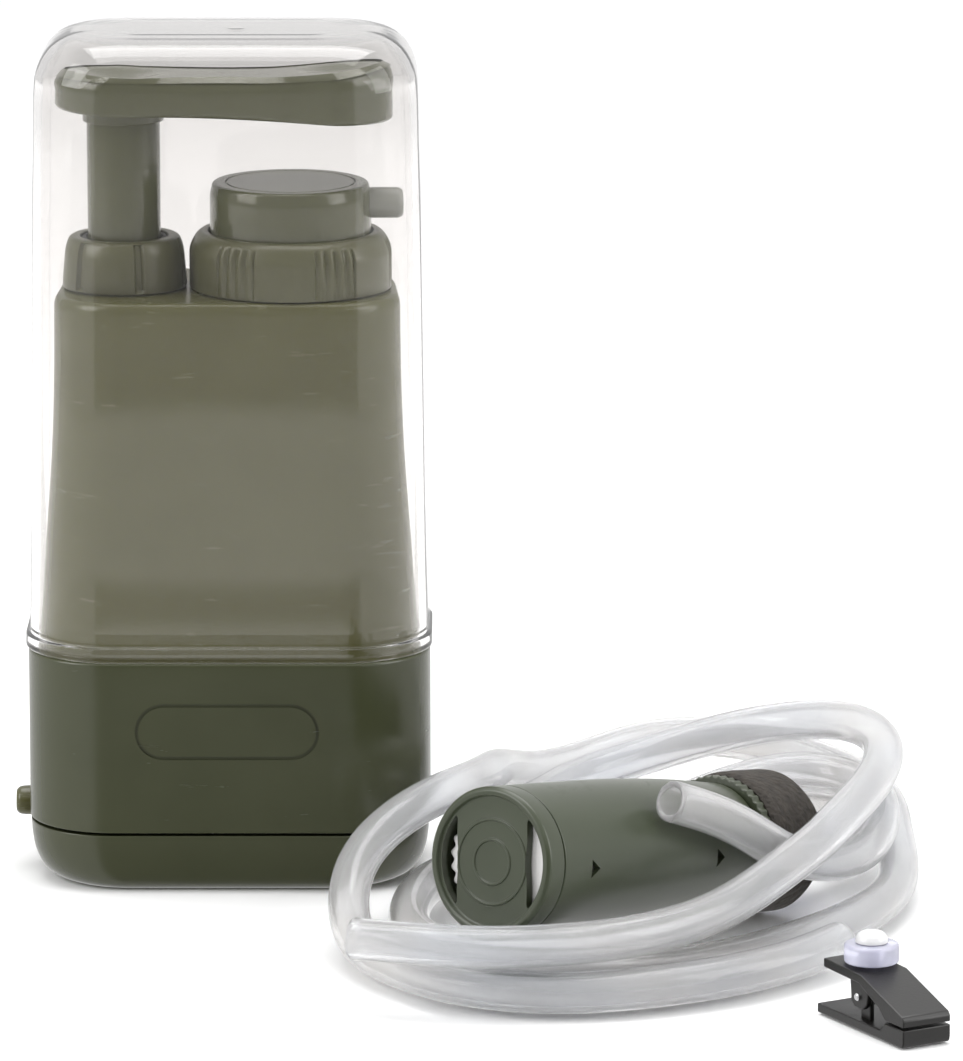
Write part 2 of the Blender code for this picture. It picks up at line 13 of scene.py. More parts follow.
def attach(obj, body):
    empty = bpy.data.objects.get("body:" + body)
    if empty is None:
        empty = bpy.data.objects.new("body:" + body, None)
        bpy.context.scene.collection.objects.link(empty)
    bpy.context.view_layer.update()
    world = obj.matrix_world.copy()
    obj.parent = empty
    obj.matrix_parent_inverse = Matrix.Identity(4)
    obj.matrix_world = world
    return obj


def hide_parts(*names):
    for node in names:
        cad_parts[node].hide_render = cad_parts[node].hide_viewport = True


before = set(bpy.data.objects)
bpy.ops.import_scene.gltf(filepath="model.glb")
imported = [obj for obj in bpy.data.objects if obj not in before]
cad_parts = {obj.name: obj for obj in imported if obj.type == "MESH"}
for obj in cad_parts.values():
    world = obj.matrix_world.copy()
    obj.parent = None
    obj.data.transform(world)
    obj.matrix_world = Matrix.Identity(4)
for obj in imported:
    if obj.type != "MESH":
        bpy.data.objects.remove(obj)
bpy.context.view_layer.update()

MM = 0.001
PUMP_X, FILTER_X = -20.6, 12.6                 # the two upright axes
LEDGE_Z = 46.7                                 # where the cover stands on the base band
INLET_Y, INLET_HOLE_R = 13.0, 3.25             # the inlet lies behind the middle, along X
SPOUT_Z, SPOUT_HOLE_R = 134.7, 3.25
HANDLE_L, HANDLE_R = -34.4, 33.1               # left and right ends of the grip
STRAINER_FRONT = Vector((51.6, -105.0, 27.4))  # middle of the strainer's front face
STRAINER_AXIS = Vector((0.61, 0.77, -0.15)).normalized()
STRAINER_R = 14.2
NIPPLE_END = 103.4                             # from the strainer's front face
HOSE_R, HOSE_BORE = 4.0, 2.7                   # outer and inner radius
STRAND_GAP = 9.3                               # between the middles of neighbouring strands
PUMP_CORNER = (45.2, -30.2)                    # hoses keep right of it or in front of it
CLIP_PIVOT = Vector((124.5, -121.5, 6.6))
CLIP_TURN = math.radians(-60)
RING_X, RING_Y = -4.5, 0.6                     # the hose ring's rivet, from the clip's pivot

TILT = STRAINER_AXIS.to_track_quat("Z", "Y").to_matrix()
STRAINER_PLACE = (np.array(TILT), np.array(STRAINER_FRONT))
CLIP_PLACE = (np.array(Matrix.Rotation(CLIP_TURN, 3, "Z")), np.array(CLIP_PIVOT))

# ---------------------------------------------------------------- camera
camera = bpy.data.objects.new("camera", bpy.data.cameras.new("camera"))
camera.data.lens = 261.0
camera.data.sensor_width = 36.0
camera.data.clip_end = 20
camera.location = (0.0502, -1.5, 0.391)
camera.rotation_euler = (math.radians(90 - 12.14), 0, 0)
bpy.context.scene.collection.objects.link(camera)
bpy.context.scene.camera = camera


# ---------------------------------------------------------------- hose routes
# Way points of the hoses' middles: the coil lies in two layers round the strainer.
INTAKE_WAY = ((127, -3, 10), (125, 11, 8), (111, 20, 7), (90, 13, 6), (70, 1, 6), (53, -16, 6),
              (41, -34, 6), (36, -54, 6), (36, -73, 5), (44, -89, 5), (59, -101, 5),
              (80, -103, 5), (100, -92, 5), (115, -74, 5), (128, -52, 5), (133, -30, 5),
              (132, -8, 9), (125, 13, 15), (107, 26, 19), (86, 28, 20), (68, 20, 15),
              (58, 1, 17), (50.5, -24, 21), (37.5, -42, 23), (25, -59, 16), (24.5, -78, 6),
              (33, -97, 5), (46, -111, 5), (62, -116.5, 5), (80, -113, 5), (96, -104, 5),
              (109, -93, 5), (118, -83, 6))
OUTLET_WAY = ((26.5, -110, 13.9), (38, -114.5, 14), (50, -117.5, 14), (63, -116.5, 14),
              (77, -111, 14), (94, -98, 15), (109, -78, 20), (120, -57, 24), (128, -33, 26),
              (131, -12, 28), (125, 6, 28.5), (110, 18, 25), (93, 20, 20.5), (77, 13, 17),
              (62, 1, 16), (52, -16, 16), (45, -36, 16), (46, -56, 16), (57, -60, 16),
              (66, -45, 16), (77, -29, 15), (89, -13, 15), (102, -3, 18), (115, 1, 20),
              (126, -5, 19), (130, -20, 18), (128, -38, 14), (120, -53, 13), (109, -64, 18),
              (97, -74, 28), (86, -84, 33.5))


def smooth_path(way, step):
    """Points every step mm along a smooth curve through the way points."""
    way = np.asarray(way, float)
    padded = np.vstack((2 * way[0] - way[1], way, 2 * way[-1] - way[-2]))
    u = np.linspace(0, 1, 24, endpoint=False)[:, None]
    a, b, c, d = padded[:-3, None], padded[1:-2, None], padded[2:-1, None], padded[3:, None]
    curve = 0.5 * (2 * b + (c - a) * u + (2 * a - 5 * b + 4 * c - d) * u ** 2
                   + (3 * b - a - 3 * c + d) * u ** 3)
    return evenly(np.vstack((curve.reshape(-1, way.shape[1]), way[-1])), step)


def evenly(points, step):
    """The same line with its points about step apart."""
    length = np.r_[0, np.cumsum(np.linalg.norm(np.diff(points, axis=0), axis=1))]
    count = max(2, int(round(length[-1] / step)) + 1)
    at = np.linspace(0, length[-1], count)
    return np.stack([np.interp(at, length, points[:, i]) for i in range(points.shape[1])], axis=1)


def clear_of_axis(points, start, axis, length, radius):
    """Pushes points straight out of a round bar that reaches 3 mm before its start."""
    start, axis = np.array(start), np.array(axis)
    along = (points - start) @ axis
    out = points - start - along[:, None] * axis
    far = np.linalg.norm(out, axis=1)
    inside = (along > -3) & (along < length) & (far < radius)
    push = np.where(inside, radius - far, 0)
    return points + out / np.maximum(far, 1e-6)[:, None] * push[:, None]


def settle(paths, spacing=STRAND_GAP, rounds=300):
    """Moves neighbouring strands apart and off the floor, the pump and the strainer. Each round
    also evens out the bends a little and draws every point back towards its place."""
    even_out, draw_back, lowest = 0.22, 0.03, 4.4
    corner_x, corner_y = PUMP_CORNER
    sizes = [len(p) for p in paths]
    points = np.vstack(paths)
    owner = np.repeat(np.arange(len(paths)), sizes)
    index = np.concatenate([np.arange(n) for n in sizes])
    ends = (index < 3) & (owner == 0)
    near = (owner[:, None] == owner[None]) & (abs(index[:, None] - index[None]) < 9)
    others = (owner > 0) | (index > 9)
    held, home = points[ends].copy(), points.copy()
    inner = (index > 0) & np.r_[index[1:] > 0, False]
    for _ in range(rounds):
        apart = points[:, None] - points[None]
        far = np.linalg.norm(apart, axis=2) + 1e-9
        push = np.where(near | (far > spacing), 0, spacing - far) * 0.25
        points = points + (apart / far[..., None] * push[..., None]).sum(axis=1)
        mean = (np.roll(points, 1, axis=0) + np.roll(points, -1, axis=0)) / 2
        points[inner] += even_out * (mean - points)[inner]
        points += draw_back * (home - points)
        points = clear_of_axis(points, STRAINER_FRONT, STRAINER_AXIS, 96, STRAINER_R + 4.6)
        for along, length, radius in ((94, 5, 13.6), (100, 5, 10.2)):
            points[others] = clear_of_axis(points, STRAINER_FRONT + STRAINER_AXIS * along,
                                           STRAINER_AXIS, length, radius)[others]
        block = (points[:, 0] < corner_x) & (abs(points[:, 1]) < -corner_y)
        sideways = block & (points[:, 0] - corner_x > corner_y - points[:, 1])
        points[block & ~sideways, 1] = corner_y
        points[sideways, 0] = corner_x
        points[:, 2] = np.maximum(points[:, 2], lowest)
        points[ends] = held
    return [points[owner == k] for k in range(len(paths))]


# ---------------------------------------------------------------- mesh helpers
def filleted(corners, steps=6):
    """A polyline of (coordinates..., fillet): each corner with a fillet becomes a short curve
    that leaves and joins the two sides at that distance (a quadratic through the corner)."""
    corners = np.array(corners, float)
    places, fillet = corners[:, :-1], corners[:, -1]
    out = [places[:1]]
    for before, here, after, radius in zip(places, places[1:], places[2:], fillet[1:]):
        if radius <= 0:
            out.append(here[None])
            continue
        start = here + (before - here) / np.linalg.norm(before - here) * radius
        end = here + (after - here) / np.linalg.norm(after - here) * radius
        t = np.linspace(0, 1, steps + 1)[:, None]
        out.append((1 - t) ** 2 * start + 2 * t * (1 - t) * here + t ** 2 * end)
    return np.vstack(out + [places[-1:]])


def add_mesh(name, points, faces, material, smooth_angle=35):
    """A smooth-shaded object from points in millimetres; edges over smooth_angle stay crisp."""
    mesh = bpy.data.meshes.new(name)
    mesh.from_pydata(np.asarray(points) * MM, [], faces)
    mesh.validate()
    mesh.polygons.foreach_set("use_smooth", np.ones(len(mesh.polygons), bool))
    mesh.set_sharp_from_angle(angle=math.radians(smooth_angle))
    mesh.materials.append(material)
    obj = bpy.data.objects.new(name, mesh)
    bpy.context.scene.collection.objects.link(obj)
    return obj


def skin(name, grid, material, closed=False, place=None, smooth_angle=35):
    """A surface over a grid of rows x columns. Columns wrap round; rows end in fans round the
    middle of the end rows, or join up when closed. Volume decides which way the faces turn."""
    rows, cols = grid.shape[:2]
    if place is not None:
        grid = grid @ place[0].T + place[1]
    points = grid.reshape(-1, 3)
    index = np.arange(rows * cols).reshape(rows, cols)
    low = index if closed else index[:-1]
    high = np.roll(index, -1, axis=0) if closed else index[1:]
    quads = np.stack((low, np.roll(low, -1, axis=1), np.roll(high, -1, axis=1), high), axis=-1)
    faces = quads.reshape(-1, 4)
    inside = points.mean(axis=0)
    corner = points[faces] - inside
    volume = (np.einsum("ij,ij->i", corner[:, 0], np.cross(corner[:, 1], corner[:, 2]))
              + np.einsum("ij,ij->i", corner[:, 0], np.cross(corner[:, 2], corner[:, 3]))).sum()
    fans = np.zeros((0, 3), int)
    if not closed:
        points = np.vstack((points, grid[0].mean(axis=0), grid[-1].mean(axis=0)))
        first, last = index[0], index[-1]
        middle = np.full(cols, rows * cols)
        fans = np.vstack((np.stack((np.roll(first, -1), first, middle), axis=1),
                          np.stack((last, np.roll(last, -1), middle + 1), axis=1)))
        tri = points[fans] - inside
        volume += np.einsum("ij,ij->i", tri[:, 0], np.cross(tri[:, 1], tri[:, 2])).sum()
    if volume < 0:
        faces, fans = faces[:, ::-1], fans[:, ::-1]
    return add_mesh(name, points, faces.tolist() + fans.tolist(), material, smooth_angle)


def turned(name, profile, material, cx=0.0, cy=0.0, n=96, closed=True, shape=None, place=None,
           axis="z", steps=6, smooth_angle=35):
    """A profile of (radius, height, fillet) turned round an upright axis, or round one along X.
    shape(angle, radius, height) may change the radius."""
    profile = filleted(list(profile) + [profile[0]] if closed else profile, steps)
    if closed:
        profile = profile[:-1]
    angle = np.linspace(0, 2 * np.pi, n, endpoint=False)[None]
    radius, height = profile[:, :1], profile[:, 1:]
    if shape is not None:
        radius = shape(angle, radius, height)
    a, b = radius * np.cos(angle), radius * np.sin(angle)
    h = np.broadcast_to(height, a.shape)
    grid = np.stack((a + cx, b + cy, h), -1) if axis == "z" else np.stack((h, a + cx, b + cy), -1)
    return skin(name, grid, material, closed, place, smooth_angle)


def plan(half_w, half_d, radius, corner_steps=14, front_steps=3):
    """Rounded rectangles for arrays of half width, half depth and corner radius: four quarter
    circles joined by straight sides, the front side cut into front_steps pieces."""
    half_w, half_d, radius = (np.asarray(v, float)[:, None] for v in (half_w, half_d, radius))
    t = np.linspace(0, np.pi / 2, corner_steps)[None]
    parts = []
    for k, (sx, sy) in enumerate(((1, 1), (-1, 1), (-1, -1), (1, -1))):
        x = sx * (half_w - radius) + radius * np.cos(t + k * np.pi / 2)
        y = sy * (half_d - radius) + radius * np.sin(t + k * np.pi / 2)
        parts.append(np.stack((x, y), -1))
        if k == 2:
            f = np.linspace(-1, 1, front_steps + 1)[1:-1][None]
            x = (half_w - radius) * f
            parts.append(np.stack((x, np.broadcast_to(-half_d, x.shape)), -1))
    return np.concatenate(parts, axis=1)


def lofted(name, levels, material, corner_steps=14, smooth_angle=35):
    """Rounded rectangles from (half width, half depth, corner radius, z) levels, joined up."""
    half_w, half_d, radius, z = levels.T
    outline = plan(half_w, half_d, np.minimum(radius, 0.7 * half_d), corner_steps)
    height = np.broadcast_to(z[:, None, None], (*outline.shape[:2], 1))
    grid = np.concatenate((outline, height), axis=-1)
    return skin(name, grid, material, smooth_angle=smooth_angle)


def bar(name, outlines, material, place=None, bevel=0.25):
    """Flat outlines (x, z), each carried across from y0 to y1, in one piece with small bevels."""
    points, faces = [], []
    for outline, y0, y1 in outlines:
        base, n = len(points), len(outline)
        points += [(x, y, z) for y in (y0, y1) for x, z in outline]
        near = [base + i for i in range(n)]
        far = [base + n + i for i in range(n)]
        area = sum(a[0] * b[1] - b[0] * a[1] for a, b in zip(outline, outline[1:] + outline[:1]))
        if area < 0:
            near, far = near[::-1], far[::-1]
        faces += [near, far[::-1]]
        faces += [[near[(i + 1) % n], near[i], far[i], far[(i + 1) % n]] for i in range(n)]
    points = np.array(points, float)
    if place is not None:
        points = points @ place[0].T + place[1]
    obj = add_mesh(name, points, faces, material, 30)
    if bevel:
        mod = obj.modifiers.new("bevel", "BEVEL")
        mod.width, mod.segments, mod.limit_method = bevel * MM, 3, "ANGLE"
        mod.angle_limit = math.radians(28)
    return obj


def carve(obj, cutters):
    """Cuts the cutters out of obj for good and removes them."""
    for cutter in cutters:
        mod = obj.modifiers.new("carve", "BOOLEAN")
        mod.operation, mod.solver, mod.object = "DIFFERENCE", "EXACT", cutter
    shown = obj.evaluated_get(bpy.context.evaluated_depsgraph_get())
    mesh = bpy.data.meshes.new_from_object(shown)
    obj.modifiers.clear()
    mesh.set_sharp_from_angle(angle=math.radians(35))
    old, obj.data = obj.data, mesh
    bpy.data.meshes.remove(old)
    for cutter in cutters:
        bpy.data.objects.remove(cutter, do_unlink=True)


def settle_on(piece, body, slot, *nodes):
    """Says which body the piece rides on and hides the plain nodes it replaces. The slot argument
    is not used.
    """
    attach(piece, body)
    if nodes:
        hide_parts(*nodes)
    return piece


# ---------------------------------------------------------------- shared material groups
def new_group(name, inputs, outputs):
    """An empty shader group with (label, default) inputs and (label, socket type) outputs."""
    group = bpy.data.node_groups.new(name, "ShaderNodeTree")
    for label, default in inputs:
        socket = group.interface.new_socket(label, in_out="INPUT", socket_type="NodeSocketFloat")
        socket.default_value = default
    for label, kind in outputs:
        group.interface.new_socket(label, in_out="OUTPUT", socket_type=kind)
    return group, group.nodes.new("NodeGroupInput"), group.nodes.new("NodeGroupOutput")


def node(tree, kind, links=(), **values):
    """One shader node: values set its properties or inputs, and links feed its inputs."""
    made = tree.nodes.new(kind)
    for key, value in values.items():
        if key in made.bl_rna.properties:
            setattr(made, key, value)
        else:
            made.inputs[key.replace("_", " ")].default_value = value
    for socket, source in links:
        tree.links.new(source, made.inputs[socket])
    return made


def moulded_group():
    """Moulded plastic: a soft cloudy tone, a fine spark texture and faint rub marks.
    Tone is 0 to 1 round 0.5, Relief is a height and Rub a mask of dull streaks."""
    group, inp, out = new_group("moulded surface", (("Grain", 1800.0), ("Cloud", 45.0)),
                                (("Tone", "NodeSocketFloat"), ("Relief", "NodeSocketFloat"),
                                 ("Rub", "NodeSocketFloat")))
    place = node(group, "ShaderNodeTexCoord").outputs["Object"]
    cloud = node(group, "ShaderNodeTexNoise", (("Vector", place), ("Scale", inp.outputs["Cloud"])),
                 Detail=3.0, Roughness=0.55)
    grain = node(group, "ShaderNodeTexNoise", (("Vector", place), ("Scale", inp.outputs["Grain"])),
                 Detail=2.0, Roughness=0.5)
    stretch = node(group, "ShaderNodeMapping", (("Vector", place),), Scale=(90, 90, 700))
    streak = node(group, "ShaderNodeTexNoise", (("Vector", stretch.outputs[0]),), Scale=1.0,
                  Detail=4.0, Roughness=0.7)
    rub = node(group, "ShaderNodeMapRange", (("Value", streak.outputs["Fac"]),))
    rub.inputs["From Min"].default_value, rub.inputs["From Max"].default_value = 0.58, 0.78
    group.links.new(cloud.outputs["Fac"], out.inputs["Tone"])
    group.links.new(grain.outputs["Fac"], out.inputs["Relief"])
    group.links.new(rub.outputs["Result"], out.inputs["Rub"])
    return group


MOULDED = moulded_group()


def finish(name, low, high, rough=(0.32, 0.42), bump=0.02, grain=1800.0, cloud=45.0, coat=0.0,
           bump_distance=0.0002, **sockets):
    """A moulded finish: colour runs from low to high with the cloud, roughness with the rubs."""
    mat = bpy.data.materials.new(name)
    mat.use_nodes = True
    tree = mat.node_tree
    shader = tree.nodes["Principled BSDF"]
    base = node(tree, "ShaderNodeGroup")
    base.node_tree = MOULDED
    base.inputs["Grain"].default_value, base.inputs["Cloud"].default_value = grain, cloud
    ramp = tree.nodes.new("ShaderNodeValToRGB")
    ramp.color_ramp.elements[0].position, ramp.color_ramp.elements[1].position = 0.3, 0.7
    ramp.color_ramp.elements[0].color = (*low, 1)
    ramp.color_ramp.elements[1].color = (*high, 1)
    tree.links.new(base.outputs["Tone"], ramp.inputs["Fac"])
    tree.links.new(ramp.outputs["Color"], shader.inputs["Base Color"])
    gloss = node(tree, "ShaderNodeMapRange", (("Value", base.outputs["Rub"]),))
    gloss.inputs["To Min"].default_value, gloss.inputs["To Max"].default_value = rough
    tree.links.new(gloss.outputs["Result"], shader.inputs["Roughness"])
    relief = node(tree, "ShaderNodeBump", (("Height", base.outputs["Relief"]),), Strength=bump,
                  Distance=bump_distance)
    tree.links.new(relief.outputs["Normal"], shader.inputs["Normal"])
    shader.inputs["Coat Weight"].default_value = coat
    for label, value in sockets.items():
        shader.inputs[label.replace("_", " ")].default_value = value
    return mat


OLIVE = finish("olive moulding", (0.064, 0.062, 0.020), (0.072, 0.070, 0.025), (0.24, 0.34),
               bump=0.004)
OLIVE_GRAIN = finish("olive grained moulding", (0.064, 0.063, 0.030), (0.074, 0.073, 0.035),
                     (0.28, 0.38), bump=0.12, grain=1600.0)
OLIVE_DEEP = finish("olive base moulding", (0.040, 0.044, 0.020), (0.046, 0.050, 0.024),
                    (0.22, 0.32), bump=0.004)
OLIVE_GLOSS = finish("olive polished moulding", (0.062, 0.064, 0.033), (0.070, 0.072, 0.038),
                     (0.15, 0.24), bump=0.005, coat=0.25)
STRAINER_GREEN = finish("strainer green moulding", (0.034, 0.042, 0.022), (0.041, 0.050, 0.028),
                        (0.30, 0.42), bump=0.01)
BLACK = finish("black clip moulding", (0.004, 0.0035, 0.003), (0.008, 0.007, 0.006), (0.36, 0.5),
               bump=0.08)
FOAM = finish("closed cell foam", (0.016, 0.013, 0.010), (0.040, 0.033, 0.026), (0.85, 0.95),
              bump=0.8, grain=900.0, cloud=500.0, bump_distance=0.0008)
PEARL = finish("pearl white rivet", (0.62, 0.62, 0.62), (0.70, 0.70, 0.71), (0.12, 0.2), coat=0.5)
PALE = finish("pale grey spout", (0.17, 0.17, 0.145), (0.21, 0.21, 0.18), (0.3, 0.4))
MESH_WHITE = finish("pleated white mesh", (0.62, 0.61, 0.60), (0.80, 0.79, 0.78), (0.35, 0.55),
                    bump=0.5, grain=3500.0)
STEEL = finish("plated steel", (0.55, 0.55, 0.56), (0.66, 0.66, 0.67), (0.2, 0.35),
               grain=2600.0, Metallic=1.0)
RUBBER = finish("black rubber", (0.014, 0.014, 0.014), (0.02, 0.02, 0.02), (0.6, 0.75), bump=0.2)
WHITE_INNER = finish("white inner moulding", (0.66, 0.66, 0.65), (0.74, 0.74, 0.73), (0.4, 0.5))
CARBON = finish("pressed carbon", (0.010, 0.010, 0.010), (0.025, 0.025, 0.025), (0.8, 0.95),
                bump=0.7, grain=1200.0)
SILICONE = finish("milky silicone", (0.885, 0.865, 0.845), (0.86, 0.87, 0.89), (0.14, 0.24),
                  bump=0.01, grain=600.0, cloud=22.0, Transmission_Weight=0.82, IOR=1.34)
COVER_CLEAR = finish("clear cover", (0.862, 0.848, 0.838), (0.872, 0.858, 0.848), (0.01, 0.03),
                     bump=0.0, Transmission_Weight=1.0, IOR=1.42)
CLEAR_LAVENDER = finish("clear lavender vinyl", (0.74, 0.74, 0.88), (0.80, 0.80, 0.92),
                        (0.08, 0.16), bump=0.02, Transmission_Weight=0.6, IOR=1.45)


# ---------------------------------------------------------------- housing
def rows(*levels, steps=5):
    """Levels of (half width, half depth, corner radius, z, fillet) with the fillets put in."""
    return filleted(levels, steps)


def inlet_hole():
    """A cutter for the inlet's hole through the left wall."""
    return turned("cut", ((INLET_HOLE_R, -50.0, 0), (INLET_HOLE_R, -33.0, 0)), OLIVE, cy=INLET_Y,
                  n=32, closed=False, axis="x")


def pill_groove(middle_z=33.0, half_length=18.2, outer_r=5.65, inner_r=5.0, bottom_y=-24.62):
    """A cutter for the shallow pill-shaped line on the front of the base band."""
    t = np.linspace(0, 2 * np.pi, 96, endpoint=False)
    u, v = np.cos(t), np.sin(t)
    centre = np.sign(u) * (half_length - outer_r)
    pill = [np.stack((centre + r * u, np.full(96, y), middle_z + r * v), -1)
            for r, y in ((outer_r, -26.0), (outer_r, bottom_y), (inner_r, bottom_y),
                         (inner_r, -26.0))]
    return skin("cut", np.array(pill), OLIVE, closed=True)


def body_shell():
    """Wide band, cover ledge, waisted housing and closed top, with a wall inside. The band has a
    deeper finish than the housing above it."""
    outer = rows((30.0, 16.7, 12.0, 118.0, 0), (34.15, 20.85, 16.0, 118.0, 2.6),
                 (34.3, 20.85, 17.0, 100.0, 9), (35.0, 21.05, 17.3, 84.0, 8),
                 (36.1, 21.5, 17.4, 70.0, 6), (36.85, 22.0, 17.5, 58.0, 5),
                 (37.6, 22.6, 17.5, 49.5, 1.5), (37.6, 22.6, 17.5, LEDGE_Z, 0.35),
                 (39.95, 24.95, 18.9, LEDGE_Z, 0.7), (40.0, 25.0, 19.0, 12.35, 0.6),
                 (37.6, 22.6, 16.6, 12.3, 0))
    inner = rows((37.6, 22.6, 16.6, 12.3, 0), (37.6, 22.6, 16.6, 43.5, 0),
                 (35.3, 20.4, 15.0, 49.0, 0), (33.9, 19.3, 15.0, 70.0, 0),
                 (32.2, 18.7, 15.0, 100.0, 0), (31.0, 18.0, 15.0, 115.6, 0), (20, 9, 8, 115.6, 0))
    shell = lofted("body_shell_skin", np.vstack((outer, inner[1:])), OLIVE)
    cuts = [turned("cut", ((r, 112.0, 0), (r, 124.0, 0)), OLIVE, cx=x, n=64, closed=False)
            for x, r in ((PUMP_X, 10.3), (FILTER_X, 16.8))]
    cuts.append(inlet_hole())
    cuts.append(pill_groove())
    carve(shell, cuts)
    shell.data.materials.append(OLIVE_DEEP)
    middle = np.empty(len(shell.data.polygons) * 3)
    shell.data.polygons.foreach_get("center", middle)
    band = (middle[2::3] < (LEDGE_Z + 0.05) * MM).astype(np.int32)
    shell.data.polygons.foreach_set("material_index", band)
    return settle_on(shell, "housing", "body_shell", "body_shell")


def base_tray():
    """The bottom cover: a full round under edge, a rim below the joint line and a hollow top."""
    levels = ((33.0, 20.0, 15.0, 0.0), (34.6, 21.2, 15.8, 0.35), (36.4, 22.4, 16.8, 1.3),
              (38.0, 23.5, 17.8, 3.2), (39.1, 24.3, 18.6, 6.0), (39.6, 24.7, 18.9, 9.0),
              (39.75, 24.75, 18.95, 11.0))
    outer = smooth_path(levels, 0.8)
    rim = rows((39.8, 24.8, 19.0, 11.4, 0), (39.8, 24.8, 19.0, 11.75, 0.3),
               (37.5, 22.5, 16.5, 11.75, 0), (36.8, 22.0, 16.0, 6.0, 0), (34.0, 19.5, 14.0, 3, 0))
    tray = lofted("base_cover_skin", np.vstack((outer, rim)), OLIVE_DEEP)
    carve(tray, [inlet_hole()])
    settle_on(tray, "housing", "base_cover", "base_cover")


def inlet():
    """The short spigot at the left end of the joint line, with its collar inside the wall."""
    spigot = turned("inlet_spigot", ((1.6, -43.0, 0), (2.1, -43.2, 0.2), (2.75, -42.6, 0.4),
                                     (2.95, -41.4, 0.4), (2.95, -36.2, 0.2), (4.0, -36.2, 0.1),
                                     (4.0, -34.8, 0.1), (2.6, -34.8, 0), (2.6, -18.6, 0),
                                     (1.6, -18.6, 0)), OLIVE, cy=INLET_Y, n=56, axis="x")
    settle_on(spigot, "housing", "inlet_elbow", "inlet_elbow")


# ---------------------------------------------------------------- pump
def notched(angle, radius, z):
    """Six wide pads round the collar, parted by narrow notches with eased sides."""
    phase = (angle * 6 / (2 * np.pi) + 0.28) % 1.0
    dip = np.clip((0.075 - abs(phase - 0.07)) / 0.025, 0, 1)
    dip = dip * dip * (3 - 2 * dip)
    return radius - np.where((radius > 11.2) & (z > 118.6), 0.75, 0.0) * dip


def ribbed(angle, radius, z):
    """Every sixth of a turn carries four close ribs; smooth pads lie between the groups."""
    phase = (angle * 6 / (2 * np.pi) + 0.25) % 1.0
    wave = 0.5 + 0.5 * np.cos(2 * np.pi * phase / 0.105 - np.pi)
    inside = np.clip((0.42 - phase) / 0.01, 0, 1) * np.clip(phase / 0.01, 0, 1)
    deep = np.clip((radius - 19.0) / 0.6, 0, 1) * np.clip((z - 118.7) / 0.3, 0, 1)
    return radius - 0.75 * deep * inside * (1 - wave ** 0.6)


def pump():
    """What shows of the pump under the handle: stem, collar and wiper."""
    settle_on(turned("stem_tube", ((5.1, 39.4, 0), (7.4, 39.4, 0.4), (7.4, 151.6, 0.1),
                                   (5.1, 151.6, 0)), OLIVE_GLOSS, cx=PUMP_X, n=96),
              "plunger", "pump_stem", "pump_stem")
    settle_on(turned("collar_skin", ((10.45, 118.25, 0), (12.5, 118.25, 0.25), (12.5, 119.6, 0.5),
                                     (11.9, 126.2, 1.2), (11.0, 128.4, 0.9), (8.85, 128.4, 0.3),
                                     (8.85, 126.6, 0), (10.45, 126.6, 0)),
                     OLIVE_GRAIN, cx=PUMP_X, n=288, shape=notched), "gland", "pump_collar",
              "pump_collar")
    settle_on(turned("wiper_skin", ((7.65, 126.5, 0), (8.6, 126.5, 0), (8.6, 128.1, 0.3),
                                    (7.65, 128.1, 0.3)), RUBBER, cx=PUMP_X, n=64),
              "gland", "stem_wiper", "stem_wiper")


HANDLE_MIDDLE, HANDLE_HALF = (HANDLE_L + HANDLE_R) / 2, (HANDLE_R - HANDLE_L) / 2


def handle_half_width(x):
    """Half depth of the dog-bone plan at x: full at both ends, waisted between."""
    u = abs(x - HANDLE_MIDDLE) / HANDLE_HALF
    waist = 11.2 + 3.6 * np.minimum(1.0, u * 1.45) ** 2
    end = np.clip(1.0 - np.maximum(0.0, (u - 0.56) / 0.44) ** 2, 0, 1)
    return waist * np.sqrt(end)


def handle_under(x):
    """Height of the underside, which falls a little to the right."""
    return 154.4 - 2.6 * (x - HANDLE_L) / (HANDLE_R - HANDLE_L)


def handle_top(x):
    """Height of the top, which rises to both ends."""
    u = (x - HANDLE_L) / (HANDLE_R - HANDLE_L)
    return (161.4 + 0.9 * np.maximum(0.0, 1 - u * 4)
            + 2.6 * np.maximum(0.0, (u - 0.62) / 0.38) ** 1.5)


